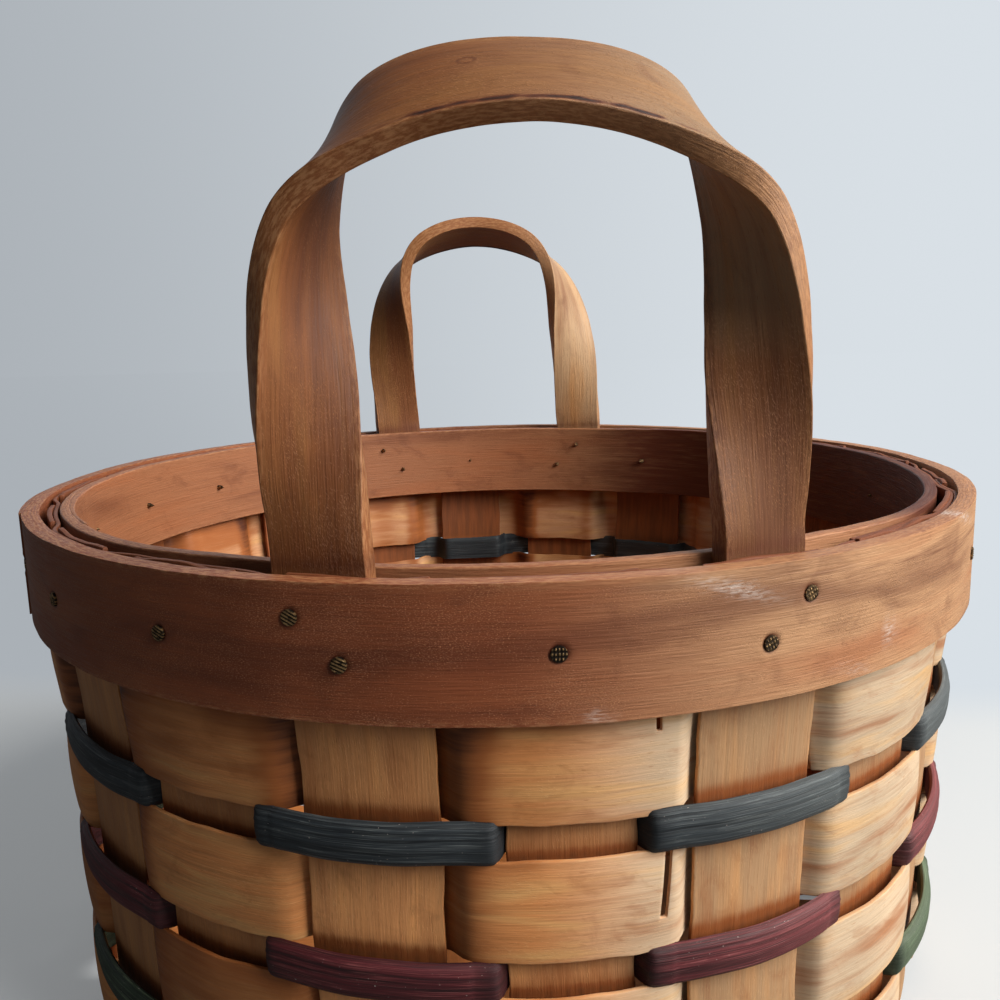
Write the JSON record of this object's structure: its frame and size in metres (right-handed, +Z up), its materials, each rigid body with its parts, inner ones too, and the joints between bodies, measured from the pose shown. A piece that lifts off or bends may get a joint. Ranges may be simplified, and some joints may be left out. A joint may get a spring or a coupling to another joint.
{
  "type": "woven basket",
  "caption": "Round woven splint basket with nailed bentwood rim bands, coloured reed rows and a fixed twisted hoop handle at each side.",
  "frame": {"origin": "under the middle of the woven base, on the surface it stands on", "axes": "+Z up through the middle of the round rim; the handles stand over -Y (front) and +Y (back)"},
  "size_m": [0.2558, 0.2558, 0.2287],
  "materials": {
    "band_wood": "satin stained bentwood",
    "handle_wood": "satin stained bentwood with worn edges",
    "stake_wood": "plain wood splint",
    "splint_wood": "plain wood splint",
    "blue_reed": "dyed reed",
    "maroon_reed": "dyed reed",
    "green_reed": "dyed reed",
    "nail_metal": "tarnished, cross-hatched heads"
  },
  "bodies": {
    "root": {"side_splint_1": "stake_wood", "side_splint_2": "stake_wood", "side_splint_3": "stake_wood", "side_splint_4": "stake_wood", "side_splint_5": "stake_wood", "lengthwise_splint_1": "stake_wood", "lengthwise_splint_2": "stake_wood", "lengthwise_splint_3": "stake_wood", "lengthwise_splint_4": "stake_wood", "lengthwise_splint_5": "stake_wood", "rim_binder": "splint_wood", "wide_weaver_1": "splint_wood", "wide_weaver_2": "splint_wood", "wide_weaver_3": "splint_wood", "wide_weaver_4": "splint_wood", "blue_reed": "blue_reed", "maroon_reed": "maroon_reed", "green_reed": "green_reed", "outer_rim_band": "band_wood", "inner_rim_band": "band_wood", "front_handle": "handle_wood", "back_handle": "handle_wood", "handle_nail_1": "nail_metal", "handle_nail_2": "nail_metal", "handle_nail_3": "nail_metal", "handle_nail_4": "nail_metal", "handle_nail_5": "nail_metal", "handle_nail_6": "nail_metal", "handle_nail_7": "nail_metal", "handle_nail_8": "nail_metal", "rim_nail_1": "nail_metal", "rim_nail_2": "nail_metal", "rim_nail_3": "nail_metal", "rim_nail_4": "nail_metal", "rim_nail_5": "nail_metal", "rim_nail_6": "nail_metal", "rim_nail_7": "nail_metal", "rim_nail_8": "nail_metal", "rim_nail_9": "nail_metal", "rim_nail_10": "nail_metal", "rim_nail_11": "nail_metal", "rim_nail_12": "nail_metal", "rim_nail_13": "nail_metal", "rim_nail_14": "nail_metal", "rim_nail_15": "nail_metal"}
  },
  "joints": []
}
